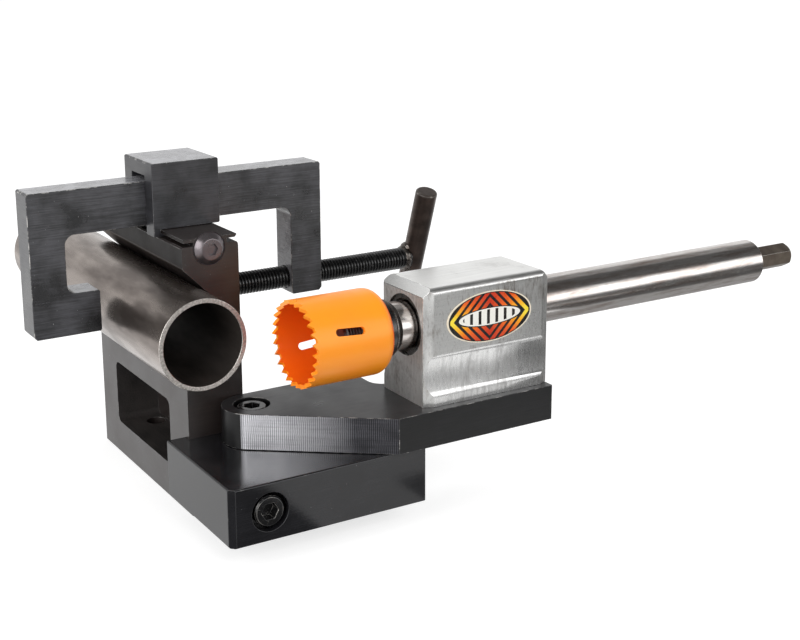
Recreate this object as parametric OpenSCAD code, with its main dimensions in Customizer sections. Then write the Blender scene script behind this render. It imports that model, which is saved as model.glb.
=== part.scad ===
// Tube notcher: a slotted upright holds a round tube in a V, a swinging arm carries a
// spindle with a hole saw, and a C-shaped clamp on the upright's top rail holds the tube.
// Millimetres, +Z up, +X to the right along the spindle, +Y to the rear along the tube.
// Origin: centre of the upright's foot, on the bench.

/* [Upright] */
// Width of the upright, left to right
upright_w = 31.75; // [30:0.25:36]
// Depth of the upright, front to rear
upright_d = 127; // [120:1:150]
// Height of the upright's shoulders above the V's mouth
shoulder_h = 11.55; // [10:0.05:20]
// Height of the tube's axis and the spindle's axis above the bench
axis_z = 102.7; // [100:0.1:104]
// Half of the height of the V's mouth
vee_half = 31.75; // [30:0.25:33]
// Depth of the V, where its point is cut flat
vee_depth = 24; // [20:0.5:26]
// Length of the bolt pocket, front to rear
pocket_w = 79; // [76:1:85]
// Height left between the bolt pocket and the V's mouth
pocket_beam = 13.95; // [10:0.05:18]
// Floor left under the bolt pocket
pocket_floor = 20; // [16:1:22]
// Wall left between the bolt pocket and the right face
pocket_web = 6.35; // [4:0.5:8]
// Radius of the bolt pocket's corners
pocket_r = 4; // [2:0.5:8]
// Diameter of the bench bolt holes
bench_hole_d = 11; // [9:0.5:13]
// Distance between the bench bolt holes
bench_pitch = 55; // [45:1:60]
// Small chamfer on the upright's long edges
upright_bevel = 0.8; // [0.3:0.1:1.5]

/* [Rail] */
// Width of the rail's head
rail_w = 29.9; // [28:0.1:30]
// Thickness of the rail's lips
rail_lip = 1.8; // [1.5:0.1:3]
// Height of the grooves under the lips
rail_groove = 2.1; // [1.8:0.1:3]
// Width of the rail's neck
rail_neck = 19; // [16:0.5:20]
// Step from the left face to the rail's head
rail_inset = 1; // [0.5:0.1:1.2]
// Radius on the right shoulder
shoulder_r = 2; // [0.5:0.5:3]

/* [Base block] */
// Width of the base block
base_w = 111.1; // [105:0.1:120]
// Height of the base block
base_h = 30.2; // [28:0.1:33]
// How far the base block stands out in front of the upright
base_front = 71.4; // [68:0.1:80]
// How far it reaches out past the upright's left face
base_left = 10.8; // [8:0.1:14]
// Depth of the keyway that fits round the upright's front
base_key = 4.8; // [3:0.1:8]
// Clear height under the base block
base_lift = 13.3; // [10:0.1:14]
// Chamfer on the front left corner
base_corner = 3; // [1:0.5:5]
// Chamfer on the other edges
base_bevel = 0.6; // [0.3:0.1:1.2]

/* [Swing arm] */
// Thickness of the arm
arm_t = 19; // [16:0.1:19.5]
// Running gap between the arm and the base block
arm_gap = 0.3; // [0.2:0.05:0.5]
// Pivot, from the upright's left face
pivot_x = 28.8; // [26:0.1:32]
// Radius of the arm's round end
arm_end_r = 15.9; // [15:0.1:16.2]
// Gap between the round end and the upright's front face
arm_end_gap = 0.6; // [0.4:0.1:2]
// Where the slanted edge meets the front edge, from the upright's left face
arm_corner_x = 82; // [78:0.5:95]
// Where the wide root of the arm ends, from the upright's left face
arm_root_x = 98.3; // [95:0.1:100]
// Lip of the arm in front of the bearing block
arm_front_lip = 4.4; // [3:0.1:8]
// Lip of the arm behind the bearing block
arm_rear_lip = 3; // [2:0.1:8]
// Fillet between the root and the rear edge
arm_fillet = 9; // [6:0.5:12]
// Radius of the root's rear corner
arm_round = 6; // [4:0.5:8]
// How far the arm stops short of the bearing block's end
arm_short = 0.5; // [0.5:0.1:3]

/* [Bearing block] */
// Length of the block along the spindle
block_w = 78.5; // [70:0.1:80]
// Depth of the block, front to rear
block_d = 40.6; // [38:0.1:42]
// Height of the block
block_h = 62.5; // [61:0.1:68]
// Left end of the block, from the upright's left face
block_x = 100.5; // [99.5:0.5:106]
// Distance of the spindle in front of the upright
spindle_out = 50.25; // [50:0.05:52]
// Radius along the block's long top edges
block_top_round = 3.8; // [2:0.1:5]
// Chamfer on the block's top ends
block_end_chamfer = 4.5; // [3:0.5:5]
// Width of the chamfer on the block's front upright edges, along the spindle
block_front_chamfer = 5.4; // [2:0.1:6]
// Depth of the same chamfer, towards the rear
block_front_cut = 2.6; // [1:0.1:3]
// Chamfer on the block's rear upright edges
block_rear_chamfer = 1; // [0.5:0.1:2]
// Height of the foot band
band_h = 5.2; // [4:0.1:8]
// Height of the milled hollow above the foot band
cove_h = 22.3; // [18:0.1:23]
// Depth of the milled hollow
cove_depth = 2.4; // [1:0.1:2.8]

/* [Spindle] */
// Diameter of the shaft
shaft_d = 25.4; // [25:0.1:26]
// Length of the shaft from its flange to its end
shaft_len = 256.5; // [230:0.5:270]
// Diameter of the flange and of the spacer collar
flange_d = 30; // [28:0.5:32]
// Length of the flange's cone
flange_cone = 4; // [2:0.5:6]
// Thickness of the spacer collar
collar_t = 4.5; // [3:0.5:6]
// Diameter of the arbor thread
arbor_d = 15.9; // [14:0.1:17]
// Length of the arbor thread past the collar
arbor_len = 22; // [16:0.5:30]
// Width across the drive hexagon's flats
hex_af = 12.7; // [11:0.1:14]
// Length of the drive hexagon
hex_len = 30.5; // [24:0.5:36]
// Left end of the saw's teeth, from the upright's left face
saw_tip_x = 35.5; // [35:0.5:38]

/* [Hole saw] */
// Outer diameter of the hole saw
saw_d = 44.45; // [38:0.05:44.5]
// Length of the hole saw
saw_len = 48; // [46:0.5:49]
// Wall of the cup
saw_wall = 2; // [1.5:0.1:2.5]
// Thickness of the cup's back
saw_back = 5; // [3:0.5:6]
// Radius of the cup's back edge
saw_round = 6; // [4:0.5:7]
// Number of teeth
teeth = 26; // [20:1:34]
// Depth of the gullets
gullet = 2.6; // [1.5:0.1:3.5]
// Length of the chip slots
slot_len = 16.2; // [12:0.1:20]
// Width of the chip slots
slot_w = 3.8; // [3:0.1:6]
// Distance of the chip slots from the tips
slot_from_tip = 13.3; // [10:0.1:16]
// Angle of the front chip slot above the horizontal
slot_angle = 23; // [0:1:90]
// How far the chip slots lean from the cup's length
slot_lean = -4; // [-10:1:10]

/* [Clamp] */
// Width of the guide block, left to right
guide_w = 38; // [36:0.1:40]
// Depth of the guide block, front to rear
guide_d = 38.1; // [36:0.1:42]
// Distance of the guide block behind the upright's front face
guide_y = 28; // [26:0.5:40]
// Thickness of the guide's left leg
guide_leg = 4; // [3:0.1:5]
// Thickness of the guide's bridge over the bar
guide_bridge = 7.6; // [6:0.1:10]
// Room between the bar and the bridge
bridge_gap = 2.9; // [1:0.1:4]
// Height of the hook under the rail's lip
hook_h = 1.5; // [1.2:0.1:1.6]
// Reach of the hook under the rail's lip
hook_reach = 4.4; // [3:0.1:4.6]
// Thickness of the clamp's frame
yoke_t = 17.5; // [15:0.1:19]
// Height of the frame's top bar
yoke_bar = 23.7; // [20:0.1:26]
// Room between the top bar and the rail
yoke_lift = 1.1; // [0.8:0.1:2]
// Width of the frame's legs
yoke_leg = 19.05; // [17:0.05:22]
// Overall width of the frame
yoke_w = 169.3; // [160:0.1:175]
// Reach of the jaw from the left leg
jaw_reach = 17.7; // [14:0.1:22]
// Height of the jaw
jaw_h = 22.3; // [20:0.1:24]
// How far the jaw's lower edge is below the tube's axis
jaw_low = 5; // [4:0.1:6]
// Gap between the jaw and the tube before the screw is tightened
jaw_open = 4.6; // [0.5:0.1:8]
// Radius of the frame's inside corners
yoke_r = 5.5; // [3:0.5:8]
// Chamfer on the frame's outside corners
yoke_chamfer = 1.6; // [0.5:0.1:3]
// Wall of the right leg under the screw
yoke_under = 2.1; // [2:0.1:5]
// Diameter of the clamp screw
screw_d = 12.7; // [12:0.1:14]
// Pitch of the clamp screw's thread
screw_pitch = 1.954; // [1.75:0.001:2.2]
// Diameter of the handle
handle_d = 12.7; // [10:0.1:13]
// Length of the handle
handle_len = 89; // [70:1:92]
// Distance of the handle from the upright's right face
handle_out = 138.25; // [125:0.25:140]
// Lean of the handle towards the front
handle_lean = 19; // [0:1:90]

/* [Tube] */
// Outer diameter of the clamped tube
tube_d = 47.6; // [42:0.1:48]
// Wall of the clamped tube
tube_wall = 2.5; // [1.5:0.1:4]
// How far the tube stands out in front of the upright
tube_front = 27.6; // [10:0.1:27.7]
// Length of the tube
tube_len = 237.6; // [180:0.1:260]

/* [Fasteners] */
// Thread diameter of the large screws
bolt_d = 10; // [9:0.5:10]
// Head diameter of the large socket screws
bolt_head_d = 16; // [15:0.5:17]
// Head height of the large socket screws
bolt_head_h = 10; // [8:0.5:10.5]
// Width across the flats of their sockets
bolt_socket = 8; // [6:0.5:9]
// Counterbore of the base screw
base_cbore_d = 20; // [18:0.5:22]
// Counterbore of the pivot screw
pivot_cbore_d = 19.4; // [18.5:0.1:22]
// Head diameter of the rail stop screw
stop_head_d = 17.5; // [16:0.1:19]
// Head height of the rail stop screw
stop_head_h = 5; // [4:0.1:6]
// Width across the flats of the rail stop screw's socket
stop_socket = 6; // [5:0.5:7]
// Thread diameter of the block screws
small_d = 8; // [6:0.5:8]
// Head diameter of the block screws
small_head_d = 13; // [11:0.5:13]
// Head height of the block screws
small_head_h = 8; // [6:0.5:8]
// Width across the flats of the block screws' sockets
small_socket = 6; // [4:0.5:7]

/* [Hidden] */
// clearances
cut = 2;
fit = 0.05;
seat = 0.1;
slide = 0.2;
sink = 0.02;
$fn = 72;

// upright: 0 is its left face, its front face and the bench
vee_lo = axis_z - vee_half;
vee_hi = axis_z + vee_half;
upright_h = vee_hi + shoulder_h;
pocket_h = vee_lo - pocket_beam - pocket_floor;
pocket_y = (upright_d - pocket_w) / 2 + 1.5 * upright_bevel;
pocket_x1 = upright_w - pocket_web;
bench_x = pocket_x1 - 0.6 * bench_hole_d;
bench_y = pocket_y + pocket_w / 2 - bench_pitch / 2;
bench_countersink = 2.2 * upright_bevel;

rail_z0 = upright_h + rail_groove;
rail_top = rail_z0 + rail_lip;
rail_x0 = rail_inset;
rail_x1 = rail_inset + rail_w;
neck_x0 = rail_x0 + (rail_w - rail_neck) / 2;
neck_x1 = neck_x0 + rail_neck;
lip_bevel = 0.6 * rail_lip;

base_x0 = -base_left;
base_x1 = base_x0 + base_w;
base_y0 = -base_front;
base_top = base_lift + base_h;
key_x0 = -fit;
key_w = upright_w + 2 * fit;

// screws between the base block and the upright
base_screw_x = upright_w / 3;
base_screw_z = base_lift + base_h / 2;
base_head_sink = 0.6 * upright_bevel;
base_thread = pocket_y - 4 * upright_bevel;
dowel_d = 0.6 * bolt_d;
dowel_len = 2.4 * bolt_d;
dowel_x = 0.74 * upright_w;
dowel_shares = [0.24, 0.76];
dowel_bevel = 0.1 * dowel_d;

// rail stop screw
stop_x = rail_x0 + 0.478 * rail_w;
stop_z = upright_h - rail_lip - fit * 4;
stop_len = 2 * bolt_d;
stop_depth = 0.6 * stop_head_h;

// swing arm
pivot_y = -(arm_end_r + arm_end_gap);
arm_z0 = base_top + arm_gap;
arm_z1 = arm_z0 + arm_t;
block_y0 = -spindle_out - block_d / 2;
block_y1 = block_y0 + block_d;
block_x1 = block_x + block_w;
arm_y0 = block_y0 - arm_front_lip;
arm_y1 = block_y1 + arm_rear_lip;
arm_x1 = block_x1 - arm_short;
arm_end_chamfer = arm_short;

// pivot: washer and bush are clamped to the base, the arm turns round the bush
washer_d = 2 * arm_end_r - 4 * upright_bevel;
washer_t = 1.5;
washer_z1 = arm_z0 - fit;
washer_z0 = washer_z1 - washer_t;
bush_d = 1.4 * bolt_d;
cbore_floor = arm_z1 - bolt_head_h - 1.25 * upright_bevel;
bush_z1 = cbore_floor + seat;
nut_af = 1.7 * bolt_d;
nut_h = 0.8 * bolt_d;

// bearing block, bearings and rings
block_z0 = arm_z1;
block_z1 = block_z0 + block_h;
cove_z0 = block_z0 + band_h;
cove_z1 = cove_z0 + cove_h;
cove_c = (cove_h * cove_h / 4 + cove_depth * cove_depth) / (2 * cove_depth);
shell_wall = 1.2;
cage_wall = 2.1;
cage_r0 = shaft_d / 2 + fit;
cage_r1 = cage_r0 + cage_wall;
shell_r0 = cage_r1 + fit;
shell_r1 = shell_r0 + shell_wall;
recess_r = shell_r1 + sink;
ring_t = 1.3;
ring_x = 0.8;
ring_groove = 1.1;
ring_inner = 2.4;
shell_len = 19;
cage_len = shell_len - ring_t;
recess_depth = ring_x + ring_t + seat + shell_len;
mid_r = shaft_d / 2 + 1;
small_len = 2 * small_d;
small_in_x = 0.145 * block_w;
small_in_y = 0.2 * block_d;
small_cbore_d = small_head_d + 1.6 * upright_bevel;
small_cbore_h = small_head_h + upright_bevel;
badge_w = 53;
badge_h = 26.8;
badge_t = 0.6;
badge_z = axis_z + 3.3;

// spindle
saw_x1 = saw_tip_x + saw_len;
flange_x = saw_x1 + collar_t;
shaft_x1 = flange_x + shaft_len;
shaft_chamfer = 1;
hex_chamfer = 2.2;
arbor_pitch = 1.6;
tooth_w = PI * saw_d / teeth;
tooth_lean_share = 0.3;

// clamped tube
tube_x = vee_half - (tube_d / 2 + seat) * sqrt(2);

// clamp
guide_x0 = rail_x0 - slide - guide_leg;
guide_x1 = guide_x0 + guide_w;
guide_z0 = rail_top + slide;
bar_z0 = rail_top + yoke_lift;
yoke_z1 = bar_z0 + yoke_bar;
slot_z1 = yoke_z1 + bridge_gap;
guide_z1 = slot_z1 + guide_bridge;
hook_z1 = rail_z0 - slide;
hook_z0 = hook_z1 - hook_h;
clamp_y = guide_y + guide_d / 2;
yoke_y0 = clamp_y - yoke_t / 2;
guide_slot = yoke_t + 2 * slide;
guide_bevel = 0.6;
jaw_x = tube_x - tube_d / 2 - seat - jaw_open;
yoke_x0 = jaw_x - jaw_reach - yoke_leg;
yoke_x1 = yoke_x0 + yoke_w;
jaw_z0 = axis_z - jaw_low;
jaw_z1 = jaw_z0 + jaw_h;
screw_z = jaw_z0 + jaw_h / 2;
leg_z0 = screw_z - screw_d / 2 - yoke_under;
screw_x0 = upright_w + fit;
handle_x = upright_w + handle_out;
screw_x1 = handle_x - 0.28 * handle_d;
screw_bevel = 1.1;
handle_bevel = 0.8;
thread_depth = 0.6 * screw_pitch;
crest_share = 0.2;
root_share = 0.2;
turns = floor((screw_x1 - screw_x0 - 2 * screw_bevel) / screw_pitch);
weld_len = 2.6;
weld_h = 2;

// ---- shared shapes

// points of an arc about c, from angle a0 to a1 in n steps
function arc(c, r, a0, a1, n = 10) =
    [for (i = [0 : n]) c + r * [cos(a0 + (a1 - a0) * i / n), sin(a0 + (a1 - a0) * i / n)]];

// a rectangle from p to q with its corners cut off by k = [low left, low right, high right, high left]
function cut_rect(p, q, k) = [
    [p.x, p.y + k[0]], [p.x + k[0], p.y],
    [q.x - k[1], p.y], [q.x, p.y + k[1]],
    [q.x, q.y - k[2]], [q.x - k[2], q.y],
    [p.x + k[3], q.y], [p.x, q.y - k[3]]];

// an X-Z outline drawn from y0 over a depth d
module front_outline(pts, y0, d) {
    translate([0, y0 + d, 0]) rotate([90, 0, 0]) linear_extrude(d) polygon(pts);
}

// a Y-Z outline drawn from x0 over a length w
module side_outline(pts, x0, w) {
    translate([x0, 0, 0]) rotate([90, 0, 90]) linear_extrude(w) polygon(pts);
}

// stands a shape that was drawn along +Z along +X
module along_x(p) {
    translate(p) rotate([0, 90, 0]) children();
}

// stands a shape that was drawn along +Z along +Y
module along_y(p) {
    translate(p) rotate([-90, 0, 0]) children();
}

module hexagon(af, h) {
    cylinder(d = af / cos(30), h = h, $fn = 6);
}

// socket screw: seat at 0, head upwards, thread downwards
module socket_screw(d, len, head_d, head_h, socket) {
    difference() {
        rotate_extrude() polygon([[0, -len], [0.42 * d, -len], [d / 2, -len + 0.08 * d],
            [d / 2, 0], [head_d / 2, 0], [head_d / 2, 0.92 * head_h],
            [head_d / 2 - 0.08 * head_h, head_h], [0, head_h]]);
        translate([0, 0, 0.45 * head_h]) hexagon(socket, head_h);
    }
}

// button screw: seat at 0, domed head upwards, thread downwards
module button_screw(d, len, head_d, head_h, socket, depth) {
    dome_r = (head_d * head_d / 4 + head_h * head_h) / (2 * head_h);
    flat_r = 0.6 * head_d / 2;
    rim = 0.12 * head_h;
    difference() {
        rotate_extrude() polygon(concat([[0, -len], [0.42 * d, -len], [d / 2, -len + 0.08 * d],
            [d / 2, 0], [head_d / 2, 0], [head_d / 2, rim]],
            arc([0, head_h - dome_r], dome_r, acos(head_d / 2 / dome_r) + 1.5,
                acos(flat_r / dome_r), 8),
            [[0, head_h - dome_r + dome_r * sin(acos(flat_r / dome_r))]]));
        translate([0, 0, head_h - depth]) hexagon(socket, head_h);
    }
}

// turned ring: inner radius r0, outer radius r1, edges broken by k
module ring(r0, r1, len, k) {
    rotate_extrude() polygon([[r0, 0], [r1 - k, 0], [r1, k], [r1, len - k], [r1 - k, len], [r0, len]]);
}

// threaded rod along +Z: n ridges of the given pitch and depth, bevelled at both ends
module threaded_rod(d, pitch, depth, n, len, bevel) {
    r = d / 2;
    z0 = (len - n * pitch) / 2;
    rotate_extrude() polygon(concat(
        [[0, 0], [r - bevel, 0], [r - depth, z0]],
        [for (i = [0 : n - 1], s = [0 : 3])
            [s == 0 || s == 3 ? r - depth : r,
             z0 + pitch * (i + [root_share, (1 - crest_share + root_share) / 2,
                (1 + crest_share + root_share) / 2, 1][s])]],
        [[r - bevel, len], [0, len]]));
}

// a slot with round ends, drawn along X about its centre
module slot_shape(len, w) {
    square([len - w, w], center = true);
    for (s = [-1, 1]) translate([s * (len - w) / 2, 0]) circle(d = w);
}

// moves the model's working zero, on the upright's left face, to the centre of its foot
module place() {
    translate([-upright_w / 2, -upright_d / 2, 0]) children();
}

// ---- upright and base

module upright_outline() {
    b = upright_bevel;
    polygon(concat(
        [[b, 0], [upright_w - b, 0], [upright_w, b]],
        arc([upright_w - shoulder_r, upright_h - shoulder_r], shoulder_r, 0, 90, 6),
        [[neck_x1, upright_h], [neck_x1, rail_z0], [rail_x1 - lip_bevel, rail_z0],
         [rail_x1, rail_z0 + lip_bevel], [rail_x1, rail_top], [rail_x0, rail_top],
         [rail_x0, rail_z0], [neck_x0, rail_z0], [neck_x0, upright_h],
         [b, upright_h], [0, upright_h - b],
         [0, vee_hi + b], [b, vee_hi - b],
         [vee_depth, axis_z + vee_half - vee_depth], [vee_depth, axis_z - vee_half + vee_depth],
         [b, vee_lo + b], [0, vee_lo - b], [0, b]]));
}

module pocket_shape() {
    for (y = [pocket_r, pocket_w - pocket_r], z = [pocket_r, pocket_h - pocket_r])
        translate([y, z]) circle(r = pocket_r);
    translate([pocket_r, 0]) square([pocket_w - 2 * pocket_r, pocket_h]);
    translate([0, pocket_r]) square([pocket_w, pocket_h - 2 * pocket_r]);
}

module upright_body() place() color([0.22, 0.21, 0.21]) difference() {
    translate([0, upright_d, 0]) rotate([90, 0, 0]) linear_extrude(upright_d) upright_outline();
    translate([-cut, pocket_y, pocket_floor]) rotate([90, 0, 90])
        linear_extrude(pocket_x1 + cut) pocket_shape();
    for (i = [0, 1]) translate([bench_x, bench_y + i * bench_pitch, 0]) {
        translate([0, 0, -cut]) cylinder(d = bench_hole_d, h = pocket_floor + 2 * cut);
    }
    along_y([base_screw_x, -cut, base_screw_z]) cylinder(d = bolt_d + 2 * fit, h = base_thread + cut + seat);
    for (s = dowel_shares) along_y([dowel_x, -cut, base_lift + s * base_h])
        cylinder(d = dowel_d + 2 * fit, h = dowel_len / 2 + cut + seat);
    along_y([stop_x, -cut, stop_z]) cylinder(d = bolt_d + 2 * fit, h = stop_len + cut + seat);
}

module base_block() place() color([0.25, 0.25, 0.26]) difference() {
    k = base_bevel;
    y1 = base_key;
    intersection() {
        translate([0, 0, base_lift]) linear_extrude(base_h)
            polygon(cut_rect([base_x0, base_y0], [base_x1, y1], [base_corner, k, k, k]));
        front_outline(cut_rect([base_x0, base_lift], [base_x1, base_top], [k, k, k, k]),
            base_y0, base_front + y1);
        side_outline(cut_rect([base_y0, base_lift], [y1, base_top], [k, k, k, k]), base_x0, base_w);
    }
    translate([key_x0, 0, base_lift - cut]) cube([key_w, base_key + cut, base_h + 2 * cut]);
    along_y([base_screw_x, base_y0 - cut, base_screw_z]) {
        cylinder(d = bolt_d + 2 * fit, h = base_front + 2 * cut);
        cylinder(d = base_cbore_d, h = bolt_head_h + base_head_sink + cut);
    }
    for (s = dowel_shares) along_y([dowel_x, -dowel_len / 2 - seat, base_lift + s * base_h])
        cylinder(d = dowel_d + 2 * fit, h = dowel_len / 2 + seat + cut);
    translate([pivot_x, pivot_y, base_lift - cut]) cylinder(d = bolt_d + 2 * fit, h = base_h + 2 * cut);
    translate([pivot_x, pivot_y, washer_z0]) cylinder(d = washer_d + 2 * fit, h = washer_t + cut);
}

module base_screw() place() color([0.1, 0.1, 0.11])
    translate([base_screw_x, base_y0 + bolt_head_h + base_head_sink, base_screw_z]) rotate([90, 0, 0])
        socket_screw(bolt_d, base_front - bolt_head_h - base_head_sink + base_thread,
            bolt_head_d, bolt_head_h, bolt_socket);

module dowel_pins() place() color([0.7, 0.7, 0.72])
    for (s = dowel_shares) along_y([dowel_x, -dowel_len / 2, base_lift + s * base_h])
        rotate_extrude() polygon([[0, 0], [dowel_d / 2 - dowel_bevel, 0], [dowel_d / 2, dowel_bevel],
            [dowel_d / 2, dowel_len - dowel_bevel], [dowel_d / 2 - dowel_bevel, dowel_len], [0, dowel_len]]);

module rail_stop_screw() place() color([0.12, 0.12, 0.13])
    translate([stop_x, 0, stop_z]) rotate([90, 0, 0])
        button_screw(bolt_d, stop_len, stop_head_d, stop_head_h, stop_socket, stop_depth);

module pivot_screw() place() color([0.1, 0.1, 0.11])
    translate([pivot_x, pivot_y, bush_z1])
        socket_screw(bolt_d, bush_z1 - base_lift + nut_h + upright_bevel, bolt_head_d, bolt_head_h, bolt_socket);

module pivot_washer() place() color([0.75, 0.6, 0.35])
    translate([pivot_x, pivot_y, washer_z0]) ring(bolt_d / 2 + fit, washer_d / 2, washer_t, fit);

module pivot_bush() place() color([0.75, 0.6, 0.35])
    translate([pivot_x, pivot_y, washer_z1]) ring(bolt_d / 2 + fit, bush_d / 2, bush_z1 - washer_z1, seat);

module pivot_nut() place() color([0.15, 0.15, 0.16])
    translate([pivot_x, pivot_y, base_lift - nut_h]) difference() {
        intersection() {
            hexagon(nut_af, nut_h);
            rotate_extrude() polygon([[0, 0], [0.5 * nut_af, 0], [0.58 * nut_af, 0.12 * nut_h],
                [0.58 * nut_af, nut_h], [0, nut_h]]);
        }
        translate([0, 0, -cut]) cylinder(d = bolt_d + 2 * fit, h = nut_h + 2 * cut);
    }

// ---- swing arm and bearing block

module arm_outline() {
    c = [pivot_x, pivot_y];
    p = [arm_corner_x, arm_y0];
    reach = norm(p - c);
    a = atan2(p.y - c.y, p.x - c.x) - acos(arm_end_r / reach) + 360;
    k = arm_end_chamfer;
    polygon(concat(
        arc(c, arm_end_r, 90, a, 24),
        [p, [arm_x1 - k, arm_y0], [arm_x1, arm_y0 + k], [arm_x1, arm_y1 - k], [arm_x1 - k, arm_y1]],
        arc([arm_root_x + arm_fillet, arm_y1 + arm_fillet], arm_fillet, 270, 180, 12),
        arc([arm_root_x - arm_round, pivot_y + arm_end_r - arm_round], arm_round, 0, 90, 10)));
}

module block_screw_places() {
    for (x = [block_x + small_in_x, block_x1 - small_in_x],
         y = [block_y0 + small_in_y, block_y1 - small_in_y])
        translate([x, y, arm_z0]) children();
}

module swing_arm() place() color([0.27, 0.27, 0.28]) difference() {
    translate([0, 0, arm_z0]) linear_extrude(arm_t) arm_outline();
    translate([pivot_x, pivot_y, arm_z0 - cut]) cylinder(d = bush_d + 2 * fit, h = arm_t + 2 * cut);
    translate([pivot_x, pivot_y, cbore_floor]) cylinder(d = pivot_cbore_d, h = arm_t + cut);
    block_screw_places() {
        translate([0, 0, -cut]) cylinder(d = small_d + 2 * fit, h = arm_t + 2 * cut);
        translate([0, 0, -cut]) cylinder(d = small_cbore_d, h = small_cbore_h + cut);
    }
}

module bearing_block() place() color([0.8, 0.8, 0.8]) difference() {
    r = block_top_round;
    t = block_end_chamfer;
    f = block_front_chamfer;
    c = block_front_cut;
    b = block_rear_chamfer;
    half = asin(cove_h / 2 / cove_c);
    zc = (cove_z0 + cove_z1) / 2;
    intersection() {
        translate([0, 0, block_z0]) linear_extrude(block_h)
            polygon([[block_x + f, block_y0], [block_x1 - f, block_y0], [block_x1, block_y0 + c],
                [block_x1, block_y1 - b], [block_x1 - b, block_y1], [block_x + b, block_y1],
                [block_x, block_y1 - b], [block_x, block_y0 + c]]);
        front_outline(cut_rect([block_x, block_z0], [block_x1, block_z1], [0, 0, t, t]), block_y0, block_d);
        side_outline(concat(
            [[block_y0, block_z0], [block_y1, block_z0], [block_y1, cove_z0]],
            arc([block_y1 - cove_depth + cove_c, zc], cove_c, 180 + half, 180 - half, 14),
            [[block_y1, cove_z1]],
            arc([block_y1 - r, block_z1 - r], r, 0, 90, 8),
            arc([block_y0 + r, block_z1 - r], r, 90, 180, 8),
            [[block_y0, cove_z1]],
            arc([block_y0 + cove_depth - cove_c, zc], cove_c, half, -half, 14),
            [[block_y0, cove_z0]]), block_x, block_w);
    }
    along_x([block_x - cut, -spindle_out, axis_z]) {
        cylinder(r = mid_r, h = block_w + 2 * cut);
        cylinder(r = recess_r, h = recess_depth + cut);
        translate([0, 0, cut + ring_x]) cylinder(r = recess_r + ring_groove, h = ring_t + seat);
        translate([0, 0, cut + block_w - recess_depth]) cylinder(r = recess_r, h = recess_depth + cut);
        translate([0, 0, cut + block_w - ring_x - ring_t - seat])
            cylinder(r = recess_r + ring_groove, h = ring_t + seat);
    }
    block_screw_places() cylinder(d = small_d + 2 * fit, h = small_cbore_h + small_len + cut);
}

module block_screws() place() color([0.12, 0.12, 0.13])
    block_screw_places() translate([0, 0, small_cbore_h]) rotate([180, 0, 0])
        socket_screw(small_d, small_len, small_head_d, small_head_h, small_socket);

module bearing_shell(x) color([0.72, 0.72, 0.74])
    along_x([x, -spindle_out, axis_z]) ring(shell_r0, shell_r1, shell_len, seat);

module shell_left() place() bearing_shell(block_x + recess_depth - shell_len);

module shell_right() place() bearing_shell(block_x1 - recess_depth);

// split ring in the groove at the mouth of the recess
module snap_ring(x) color([0.1, 0.1, 0.1])
    along_x([x, -spindle_out, axis_z]) difference() {
        ring(recess_r - ring_inner, recess_r + ring_groove - seat, ring_t, seat);
        translate([0, -ring_inner, -cut]) cube([2 * recess_r, 2 * ring_inner, ring_t + 2 * cut]);
    }

module ring_left() place() snap_ring(block_x + ring_x + seat / 2);

module ring_right() place() snap_ring(block_x1 - ring_x - ring_t - seat / 2);

module roller_cage(x) color([0.6, 0.6, 0.62])
    along_x([x, -spindle_out, axis_z]) ring(cage_r0, cage_r1, cage_len, seat);

module cage_left() place() roller_cage(block_x + recess_depth - shell_len + (shell_len - cage_len) / 2);

module cage_right() place() roller_cage(block_x1 - recess_depth + (shell_len - cage_len) / 2);

module badge_plate() place() color([0.85, 0.45, 0.15])
    translate([block_x + block_w / 2, block_y0, badge_z]) rotate([90, 0, 0]) linear_extrude(badge_t)
        polygon([for (i = [0 : 59]) [badge_w / 2 * cos(6 * i), badge_h / 2 * sin(6 * i)]]);

// ---- spindle

module spindle_shaft() place() color([0.78, 0.78, 0.8]) along_x([flange_x, -spindle_out, axis_z]) {
    difference() {
        rotate_extrude() polygon([[0, 0], [flange_d / 2, 0], [flange_d / 2, collar_t / 9],
            [shaft_d / 2, flange_cone], [shaft_d / 2, shaft_len - shaft_chamfer],
            [shaft_d / 2 - shaft_chamfer, shaft_len], [0, shaft_len]]);
        translate([0, 0, shaft_len - sink]) hexagon(hex_af, cut);
    }
    translate([0, 0, shaft_len - sink]) intersection() {
        hexagon(hex_af, hex_len + sink);
        cylinder(r1 = hex_af / 2 + hex_len, r2 = hex_af / 2 - hex_chamfer / 2, h = hex_len + sink);
    }
    translate([0, 0, -collar_t - arbor_len])
        threaded_rod(arbor_d, arbor_pitch, 0.5 * arbor_pitch,
            floor((arbor_len + collar_t) / arbor_pitch) - 1, arbor_len + collar_t, 0.8 * arbor_pitch);
}

module spacer_collar() place() color([0.1, 0.1, 0.1])
    along_x([saw_x1, -spindle_out, axis_z]) ring(arbor_d / 2 + fit, flange_d / 2, collar_t, upright_bevel / 2);

module saw_cup() {
    r = saw_d / 2;
    rotate_extrude() polygon(concat(
        [[arbor_d / 2 + fit, saw_len]],
        [[arbor_d / 2 + fit, saw_len - saw_back], [r - saw_wall - saw_wall, saw_len - saw_back],
         [r - saw_wall, saw_len - saw_back - saw_wall], [r - saw_wall, 0], [r, 0]],
        arc([r - saw_round, saw_len - saw_round], saw_round, 0, 90, 8)));
}

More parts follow.
